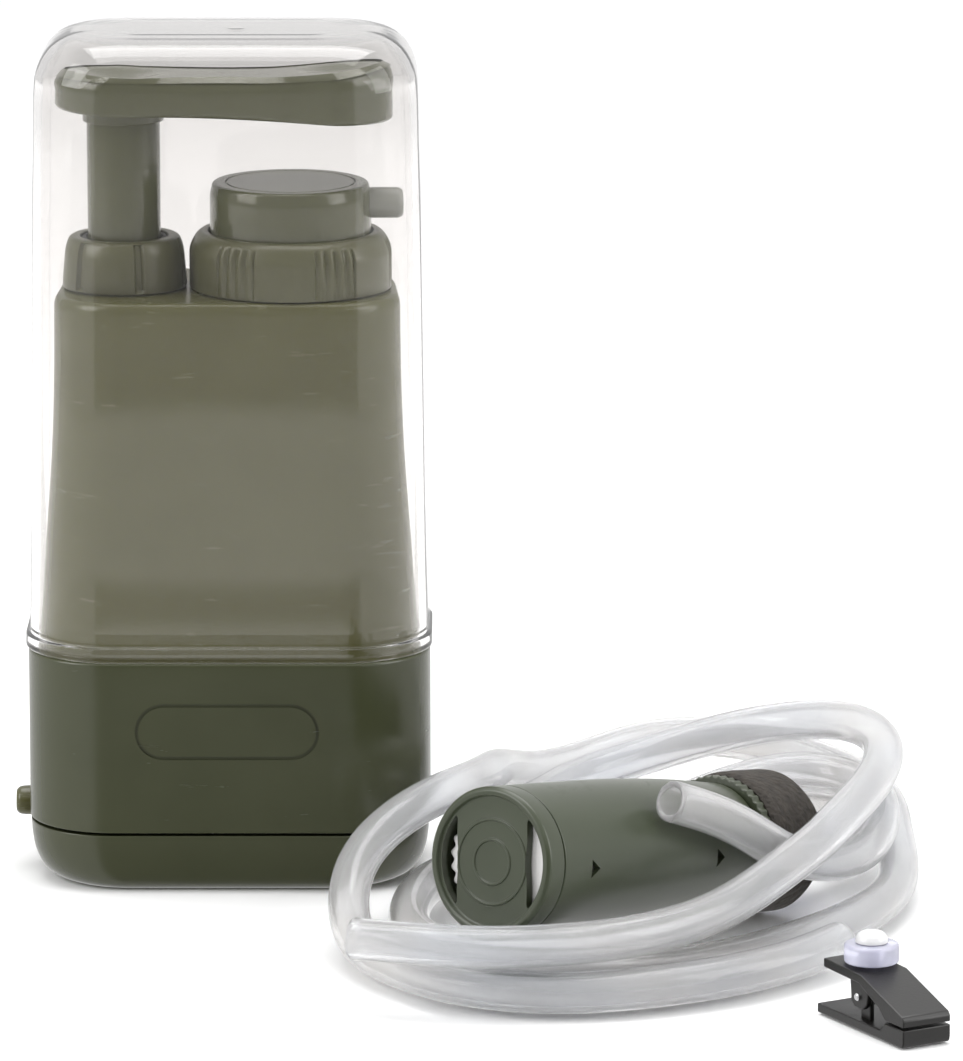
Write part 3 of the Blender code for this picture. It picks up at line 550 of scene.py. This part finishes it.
def handle():
    """A thick dog-bone bar. Its side is a stack of rounded outlines; the top is drawn in to the
    middle in scaled outlines, with an oval dish pressed into each end."""
    t = np.linspace(0, 2 * np.pi, 160, endpoint=False)[None]
    side = rows((3.2, 0, 0), (0.5, 0.0, 0.2), (0.0, 0.5, 0.3), (0.0, 2.4, 0))
    lift = rows((0.0, -4.4, 0), (0.0, -1.2, 2.6), (1.9, 0.0, 1.8), (4.4, 0.0, 0), steps=9)
    inset = np.r_[side[:, 0], lift[:, 0], np.full(20, 4.4)][:, None]
    scale = np.r_[np.ones(len(side) + len(lift)), np.linspace(0.97, 0.03, 20)][:, None]
    x = HANDLE_MIDDLE + HANDLE_HALF * np.cos(t)
    y = np.sign(np.sin(t)) * handle_half_width(x) * (abs(np.sin(t)) > 1e-9)
    out = np.stack((np.cos(t) * HANDLE_HALF, np.sin(t) * 14.0), -1)
    out = out / np.linalg.norm(out, axis=-1, keepdims=True)
    px = HANDLE_MIDDLE + (x - out[..., 0] * inset - HANDLE_MIDDLE) * (0.1 + 0.9 * scale)
    py = (y - out[..., 1] * inset) * scale
    low = len(side)
    z = handle_top(px)
    z[:low] = handle_under(px[:low]) + side[:, 1:2]
    z[low:low + len(lift)] += lift[:, 1:2]
    for cx, rx, ry, deep in ((-22.0, 9.6, 10.2, 1.5), (22.4, 8.2, 10.0, 1.3)):
        far = np.sqrt(((px - cx) / rx) ** 2 + (py / ry) ** 2)
        dish = np.clip(1.12 - far, 0, 1)
        z[low:] -= deep * (dish * dish * (3 - 2 * dish))[low:]
    grip = skin("handle_grip", np.stack((px, py, z), -1), OLIVE_GLOSS, smooth_angle=50)
    settle_on(grip, "plunger", "handle", "handle")
    boss = turned("handle_boss", ((6.0, 151.3, 0), (8.2, 151.3, 0.3), (8.2, 155.8, 0),
                                  (6.0, 155.8, 0)), OLIVE_GLOSS, cx=PUMP_X, n=96)
    settle_on(boss, "plunger", "handle")
    drop = np.linspace(0, 1, 12)
    for side_x, wide in ((-1, 1.9), (1, 2.7)):
        curve = [(PUMP_X + side_x * (8.0 + wide * u ** 2.2), 151.3 + 3.6 * u) for u in drop]
        outline = [(PUMP_X + side_x * 6.5, 151.3), *curve, (PUMP_X + side_x * 6.5, 154.9)]
        gusset = bar("handle_gusset", ((outline, -0.9, 0.9),), OLIVE_GLOSS, bevel=0.15)
        settle_on(gusset, "plunger", "handle")


# ---------------------------------------------------------------- filter, outlet, cover
def outlet():
    """The ribbed screw ring, the cap that turns in it and the cap's spout."""
    settle_on(turned("screw_ring_skin", ((17.4, 118.25, 0), (20.2, 118.25, 0.2),
                                         (20.2, 126.2, 1.4), (19.0, 128.5, 0.9),
                                         (17.8, 129.4, 0.5), (16.5, 129.4, 0.2),
                                         (16.5, 128.0, 0), (17.4, 128.0, 0)), OLIVE_GRAIN,
                     cx=FILTER_X, n=420, shape=ribbed), "screw_ring", "filter_ring",
              "filter_ring")
    cap = turned("outlet_cap_skin", ((3.0, 138.9, 0), (15.55, 138.9, 0.7), (16.1, 136.4, 0.6),
                                     (16.1, 127.7, 0), (17.1, 127.6, 0), (17.1, 126.4, 0),
                                     (14.0, 126.4, 0), (14.0, 136.9, 0), (3.0, 136.9, 0)),
                 OLIVE_GLOSS, cx=FILTER_X, n=144, closed=False)
    hole = turned("cut", ((SPOUT_HOLE_R, FILTER_X + 9.0, 0), (SPOUT_HOLE_R, 45.0, 0)), OLIVE,
                  cy=SPOUT_Z, n=40, closed=False, axis="x")
    ring = turned("cut", ((13.1, 139.5, 0), (13.1, 138.6, 0), (12.7, 138.6, 0),
                          (12.7, 139.5, 0)), OLIVE, cx=FILTER_X, n=144)
    carve(cap, [hole, ring])
    settle_on(cap, "outlet", "outlet_cap", "outlet_cap")
    spout = turned("spout_tube", ((1.8, FILTER_X + 11, 0), (3.0, FILTER_X + 11, 0),
                                  (3.0, 34.6, 0.8), (2.3, 35.3, 0.3), (1.8, 35.0, 0)), PALE,
                   cy=SPOUT_Z, n=64, axis="x")
    settle_on(spout, "outlet", "outlet_spout", "outlet_spout")


def cover():
    """The clear cover: a real wall with a stepped rim below and a flat, round-edged top."""
    outer = ((26.0, 11.0, 9.0, 169.7), (29.5, 14.5, 12.0, 169.4), (32.5, 17.5, 14.5, 168.4),
             (35.0, 20.0, 16.5, 166.4), (36.8, 21.8, 18.0, 163.2), (37.65, 22.65, 18.4, 159.0),
             (37.95, 22.95, 18.5, 146.0), (38.3, 23.3, 18.6, 132.0), (38.75, 23.75, 18.7, 101.0),
             (39.15, 24.15, 18.8, 70.0), (39.6, 24.6, 19.0, 51.2))
    inner = ((37.95, 22.95, 17.6, 49.0), (37.45, 22.45, 17.4, 70.0), (37.0, 22.0, 17.2, 101.0),
             (36.6, 21.6, 17.0, 132.0), (35.95, 20.95, 16.8, 158.6), (35.15, 20.15, 16.2, 162.4),
             (33.5, 18.5, 15.0, 165.1), (31.3, 16.3, 13.2, 166.9), (28.9, 13.9, 11.0, 167.7),
             (25.5, 10.5, 8.0, 168.0))
    rim = rows((39.65, 24.65, 19.0, 50.6, 0), (39.65, 24.65, 19.0, 50.0, 0.4),
               (40.4, 25.4, 19.4, 49.8, 0.3), (40.45, 25.45, 19.4, 47.3, 0.3),
               (40.1, 25.1, 19.2, 47.0, 0.2), (38.0, 23.0, 17.6, 47.0, 0.3))
    top = np.linspace(0.05, 1, 8)[:-1, None] * np.array(((26.0, 11.0, 9.0, 0),))
    top[:, 3] = 169.7
    under = np.linspace(1, 0.05, 8)[1:, None] * np.array(((25.5, 10.5, 8.0, 0),))
    under[:, 3] = 168.0
    levels = np.vstack((top, smooth_path(outer, 1.5), rim, smooth_path(inner, 1.5), under))
    shown = lofted("cover_wall", levels, COVER_CLEAR, corner_steps=22, smooth_angle=60)
    settle_on(shown, "cover", "clear_cover", "clear_cover")
    shown.visible_shadow = shown.visible_diffuse = False
    dot = turned("cover_gate_mark", ((0.05, 169.72, 0), (1.65, 169.72, 0.1), (1.65, 169.66, 0),
                                     (0.05, 169.66, 0)), COVER_CLEAR, cx=2.0, cy=-2, n=40)
    settle_on(dot, "cover", "clear_cover")


# ---------------------------------------------------------------- strainer
def on_strainer(name, profile, material, **settings):
    """A turned piece on the strainer's axis, its heights measured from the front face."""
    return turned(name, profile, material, place=STRAINER_PLACE, **settings)


def pleated(angle, radius, z):
    return np.where(radius > 4, radius - 0.8 * (0.5 - 0.5 * np.cos(angle * 26)), radius)


def milled(angle, radius, z):
    return radius - 0.35 * (0.5 - 0.5 * np.cos(angle * 48)) * (radius > 12)


def lumpy(angle, radius, z):
    return radius + 0.12 * np.sin(angle * 5 + z) * np.sin(angle * 3 - z * 0.7) * (radius > 8)


def sector(r0, r1, start, end, low, high, steps=40):
    """A lens-shaped prism over part of a ring: the outer edge is an arc, the inner one bulges."""
    t = np.radians(np.linspace(start, end, steps + 1))
    bulge = r0 + (r1 - r0 - 0.5) * (1 - np.sin(np.linspace(0, np.pi, steps + 1)) ** 0.8)
    outer = np.stack((r1 * np.cos(t), r1 * np.sin(t)), -1)
    inner = np.stack((bulge * np.cos(t), bulge * np.sin(t)), -1)[::-1]
    loop = np.vstack((outer, inner))
    grid = [np.hstack((loop, np.full((len(loop), 1), z))) for z in (low, high)]
    return skin("cut", np.array(grid), STRAINER_GREEN, place=STRAINER_PLACE)


def strainer():
    """Front cap with two crescent windows, pleated mesh, vented shell, milled flange, foam float
    and clear nipple."""
    cap = on_strainer("strainer_cap_skin",
                      ((0.6, 0.9, 0), (3.9, 0.9, 0.1), (4.0, 0.65, 0.1), (4.4, 0.65, 0.1),
                       (4.5, 0.9, 0.1), (7.7, 0.9, 0.1), (7.8, 0.65, 0.1), (8.2, 0.65, 0.1),
                       (8.3, 0.9, 0.1), (12.3, 0.9, 0.3), (12.6, 0.15, 0.2), (13.5, 0.0, 0.4),
                       (14.2, 0.7, 0.3), (14.2, 4.85, 0.2), (12.6, 4.85, 0), (12.6, 2.6, 0),
                       (0.6, 2.6, 0)), STRAINER_GREEN, n=144, closed=False)
    carve(cap, [sector(8.0, 12.0, middle - 44, middle + 44, -2, 5) for middle in (-6, 174)])
    settle_on(cap, "strainer_front", "strainer_cap", "strainer_cap")
    mesh = on_strainer("pleated_mesh", ((0.5, 3.0, 0), (11.4, 3.0, 0.5), (11.9, 3.6, 0.3),
                                        (11.9, 22.0, 0)), MESH_WHITE, n=312, closed=False,
                       shape=pleated)
    settle_on(mesh, "housing", "strainer_mesh", "strainer_mesh")
    shell = on_strainer("strainer_shell_skin",
                        ((13.0, 5.15, 0), (14.2, 5.15, 0.3), (14.2, 36.0, 6), (13.5, 54.0, 6),
                         (12.0, 70.5, 0.5), (2.6, 70.5, 0), (2.6, 68.2, 0), (10.6, 68.2, 0),
                         (12.2, 52.0, 0), (12.9, 34.0, 0)), STRAINER_GREEN, n=144)
    cuts = []
    corners = ((-1.8, -1.3), (1.8, -1.3), (0.0, 1.3))            # a triangular vent
    for along, face in ((14.7, -1), (55.7, -1), (14.7, 179), (55.7, 179)):
        c, s = math.cos(math.radians(face)), math.sin(math.radians(face))
        grid = [[(r * c - a * s, r * s + a * c, along + up) for a, up in corners]
                for r in (9.0, 17.0)]
        cuts.append(skin("cut", np.array(grid), STRAINER_GREEN, place=STRAINER_PLACE))
    carve(shell, cuts)
    settle_on(shell, "housing", "strainer_shell", "strainer_shell")
    flange = on_strainer("strainer_flange_skin", ((4.6, 70.95, 0), (13.4, 70.95, 0.3),
                                                  (13.4, 73.2, 0.3), (4.6, 73.2, 0)),
                         STRAINER_GREEN, n=288, shape=milled)
    settle_on(flange, "housing", "strainer_flange", "strainer_flange")
    foam = on_strainer("float_ring", ((4.6, 73.4, 0), (13.3, 73.4, 0), (13.95, 74.2, 0.7),
                                      (13.95, 81.0, 2), (13.95, 88.1, 0.7), (13.3, 88.9, 0.3),
                                      (4.6, 88.9, 0)), FOAM, n=160, shape=lumpy)
    settle_on(foam, "housing", "strainer_float", "strainer_float")
    rear = 89.4
    nipple = on_strainer("nipple_skin", ((4.2, 70.9, 0), (4.2, rear, 0), (9.0, rear, 0.3),
                                         (9.0, rear + 2.4, 0.5), (6.6, rear + 9.0, 2),
                                         (5.4, rear + 11.0, 0.6), (5.4, rear + 14.0, 0.4),
                                         (1.8, rear + 14.0, 0.2), (1.8, 70.9, 0)),
                         CLEAR_LAVENDER, n=96)
    settle_on(nipple, "housing", "strainer_nipple", "strainer_nipple")


# ---------------------------------------------------------------- clip
def across(name, profile, material, n=32, closed=True):
    """A turned piece on the clip's pivot, its heights running across the clip."""
    turn = np.array(((1, 0, 0), (0, 0, 1), (0, 1, 0)), float)
    place = (CLIP_PLACE[0] @ turn, CLIP_PLACE[1])
    return turned(name, profile, material, n=n, closed=closed, place=place)


def clip():
    """Two levers on a steel pin, the spring between them, and the hose ring on its rivet."""
    half = 5.2
    web = ((-1.6, -5.0), (1.6, -5.0), (1.5, 1.3), (-1.5, 1.3))
    lower = bar("clip_lower_skin", (
        (((-14, -6.3), (15, -6.3), (15.4, -5.4), (15.4, -2.9), (9, -2.9), (7.6, -4.5),
          (-14, -4.5)), -half, half),
        (web, -3.5, -2.5), (web, 2.5, 3.5)), BLACK, CLIP_PLACE)
    settle_on(lower, "housing", "clip_lever_lower", "clip_lever_lower")
    ear = ((-2.6, -1.2), (-1.4, -2.2), (1.4, -2.2), (2.8, -1.0), (3.4, 2.2), (-3.0, 3.4))
    upper = bar("clip_upper_skin", (
        (((-12, 2.9), (0, 2.6), (7, -0.6), (9, -2.4), (15.4, -2.4), (15.4, -1.2), (14.8, -0.4),
          (0.6, 4.3), (-12, 4.7)), -half, half),
        (ear, -half + 0.1, -3.9), (ear, 3.9, half - 0.1)), BLACK, CLIP_PLACE)
    settle_on(upper, "clip_jaw", "clip_lever_upper", "clip_lever_upper")
    pin = across("clip_pin_skin", ((0.55, -5.7, 0), (0.75, -5.5, 0), (0.75, 5.5, 0),
                                   (0.55, 5.7, 0)), STEEL, closed=False)
    settle_on(pin, "housing", "clip_pin", "clip_pin")
    coil = across("clip_spring_skin", ((1.2, -2.1, 0), (1.9, -2.1, 0), (1.9, 2.1, 0),
                                       (1.2, 2.1, 0)), STEEL)
    settle_on(coil, "housing", "clip_spring", "clip_spring")
    ring = turned("tube_ring_skin", ((1.7, 4.95, 0), (5.2, 4.95, 0.6), (5.2, 8.6, 0.9),
                                     (1.7, 8.6, 0.2)), CLEAR_LAVENDER, cx=RING_X, cy=RING_Y,
                  n=72, place=CLIP_PLACE)
    settle_on(ring, "clip_ring", "clip_tube_ring", "clip_tube_ring")
    rivet = turned("rivet_skin", ((0.2, 4.8, 0), (1.4, 4.8, 0), (1.4, 8.75, 0), (3.1, 8.75, 0.2),
                                  (3.1, 9.6, 0.8), (2.2, 10.8, 1.0), (0.2, 11.1, 0)), PEARL,
                   cx=RING_X, cy=RING_Y, n=64, closed=False, place=CLIP_PLACE)
    settle_on(rivet, "clip_jaw", "clip_rivet", "clip_rivet")


# ---------------------------------------------------------------- hoses
def settled_hoses():
    """The middles of the intake and the outlet hose, as they lie."""
    start = STRAINER_FRONT + STRAINER_AXIS * (NIPPLE_END + 0.8)
    lead = start + STRAINER_AXIS * 4.0
    return settle([smooth_path((tuple(start), tuple(lead)) + INTAKE_WAY, 4.0),
                   smooth_path(OUTLET_WAY, 4.0)])


def hose_tube(name, path, material, n=40):
    """A hollow tube: rings square to the path outside, a rounded lip, and the bore back again."""
    tangent = np.gradient(path, axis=0)
    tangent /= np.linalg.norm(tangent, axis=1, keepdims=True)
    side = np.cross(tangent, (0, 0, 1.0))
    side /= np.linalg.norm(side, axis=1, keepdims=True)
    up = np.cross(side, tangent)
    count = len(path)
    lip = np.radians((20, 45, 70, 90, 110, 135, 160))
    middle, thick = (HOSE_R + HOSE_BORE) / 2, (HOSE_R - HOSE_BORE) / 2
    radius = np.r_[np.full(count, HOSE_R), middle + thick * np.cos(lip),
                   np.full(len(path[::3]), HOSE_BORE), middle - thick * np.cos(lip)]
    out = np.r_[np.zeros(count), thick * np.sin(lip), np.zeros(len(path[::3])),
                -thick * np.sin(lip)]
    index = np.r_[np.arange(count), np.full(len(lip), count - 1), np.arange(count)[::-3],
                  np.zeros(len(lip), int)]
    t = np.linspace(0, 2 * np.pi, n, endpoint=False)[None, :, None]
    ring = side[index][:, None] * np.cos(t) + up[index][:, None] * np.sin(t)
    centre = path[index] + tangent[index] * out[:, None]
    return skin(name, centre[:, None] + ring * radius[:, None, None], material, closed=True,
                smooth_angle=70)


def hoses():
    """Both hoses end in a plain cut: the intake hose leaves the nipple, the outlet hose is
    loose at both ends."""
    intake, outlet_way = (smooth_path(path, 1.5) for path in settled_hoses())
    nipple_end = STRAINER_FRONT + STRAINER_AXIS * NIPPLE_END
    for name, path, leaves in (("intake_hose", intake, nipple_end),
                               ("outlet_hose", outlet_way, outlet_way[-1])):
        hose = hose_tube(name + "_tube", path, SILICONE)
        settle_on(hose, "housing", name, name)


hoses()
body_shell()
base_tray()
inlet()
pump()
handle()
outlet()
cover()
strainer()
clip()

# The hidden nodes keep their plain shape and only get a material.
INSIDE = {"base_gasket": RUBBER, "pump_cylinder": WHITE_INNER, "intake_valve": RUBBER,
          "piston": WHITE_INNER, "piston_seal": RUBBER, "filter_canister": WHITE_INNER,
          "cartridge_cap_lower": BLACK, "membrane_cartridge": WHITE_INNER, "carbon_core": CARBON,
          "cartridge_cap_upper": BLACK, "outlet_valve": RUBBER, "lid_seal": RUBBER}
for name, material in INSIDE.items():
    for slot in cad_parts[name].material_slots:
        slot.material = material

# ---------------------------------------------------------------- floor and light
def floor_material():
    mat = bpy.data.materials.new("pale floor")
    mat.use_nodes = True
    shader = mat.node_tree.nodes["Principled BSDF"]
    shader.inputs["Base Color"].default_value = (0.93, 0.93, 0.93, 1)
    shader.inputs["Roughness"].default_value = 0.9
    shader.inputs["Specular IOR Level"].default_value = 0.1
    return mat


FLOOR_HALF, FLOOR_Z = 3000.0, -0.1
floor = add_mesh("floor", [(x * FLOOR_HALF, y * FLOOR_HALF, FLOOR_Z)
                           for x, y in ((-1, -1), (1, -1), (1, 1), (-1, 1))],
                 [(0, 1, 2, 3)], floor_material())
floor.visible_glossy = False


def area_light(name, place, target, width, height, power):
    """A soft rectangular light at place, facing target, in metres and watts."""
    light = bpy.data.lights.new(name, "AREA")
    light.shape, light.size, light.size_y, light.energy = "RECTANGLE", width, height, power
    obj = bpy.data.objects.new(name, light)
    obj.location = place
    obj.rotation_euler = (Vector(target) - Vector(place)).to_track_quat("-Z", "Y").to_euler()
    bpy.context.scene.collection.objects.link(obj)


MIDDLE_OF_PART = (0.04, -0.03, 0.06)
area_light("key_left", (-1.1, -0.5, 0.75), MIDDLE_OF_PART, 0.7, 0.9, 9)
area_light("fill_right", (1.2, -0.4, 0.6), MIDDLE_OF_PART, 0.7, 0.9, 7)
area_light("overhead", (0.05, 0.15, 1.3), MIDDLE_OF_PART, 1.2, 0.9, 14)

world = bpy.data.worlds.new("studio")
bpy.context.scene.world = world
world.use_nodes = True
sky = world.node_tree
plain = sky.nodes["Background"]
plain.inputs["Color"].default_value = (1, 1, 1, 1)
plain.inputs["Strength"].default_value = 0.75


def maths(kind, *values):
    """One arithmetic node of the room's light, from numbers or other nodes' outputs."""
    made = sky.nodes.new("ShaderNodeMath")
    made.operation = kind
    for socket, value in zip(made.inputs, values):
        if isinstance(value, bpy.types.NodeSocket):
            sky.links.new(value, socket)
        else:
            socket.default_value = value
    return made.outputs[0]


def ramp_between(value, low, high):
    """0 below low, 1 above high, and eased between."""
    made = sky.nodes.new("ShaderNodeMapRange")
    made.interpolation_type = "SMOOTHSTEP"
    sky.links.new(value, made.inputs["Value"])
    made.inputs["From Min"].default_value, made.inputs["From Max"].default_value = low, high
    return made.outputs["Result"]


# The room as gloss sees it: a dark gap in front, between bright cards at both sides, over the
# lit edge of a table top, which is dimmer nearer the camera. Only reflections see it.
way = sky.nodes.new("ShaderNodeTexCoord")
split = sky.nodes.new("ShaderNodeSeparateXYZ")
sky.links.new(way.outputs["Generated"], split.inputs[0])
turn = maths("ARCTAN2", maths("ABSOLUTE", split.outputs["X"]),
             maths("MULTIPLY", split.outputs["Y"], -1.0))
sides = maths("MULTIPLY", ramp_between(turn, 0.40, 0.52), 0.8)
down = maths("MULTIPLY", split.outputs["Z"], -1.0)
near = maths("MULTIPLY_ADD", ramp_between(down, 0.203, 0.218), -0.85, 1.0)
table = maths("MULTIPLY", ramp_between(down, 0.166, 0.173), near)
over = ramp_between(split.outputs["Z"], 0.35, 0.6)
room = maths("MAXIMUM", sides, maths("MAXIMUM", table, over))
gloss = sky.nodes.new("ShaderNodeBackground")
sky.links.new(maths("MULTIPLY_ADD", room, 1.5, 0.05), gloss.inputs["Strength"])
path = sky.nodes.new("ShaderNodeLightPath")
mirror = maths("MULTIPLY", path.outputs["Is Glossy Ray"], path.outputs["Is Reflection Ray"])
both = sky.nodes.new("ShaderNodeMixShader")
sky.links.new(mirror, both.inputs["Fac"])
sky.links.new(plain.outputs[0], both.inputs[1])
sky.links.new(gloss.outputs[0], both.inputs[2])
sky.links.new(both.outputs[0], sky.nodes["World Output"].inputs["Surface"])
bpy.context.scene.view_settings.view_transform = "Standard"
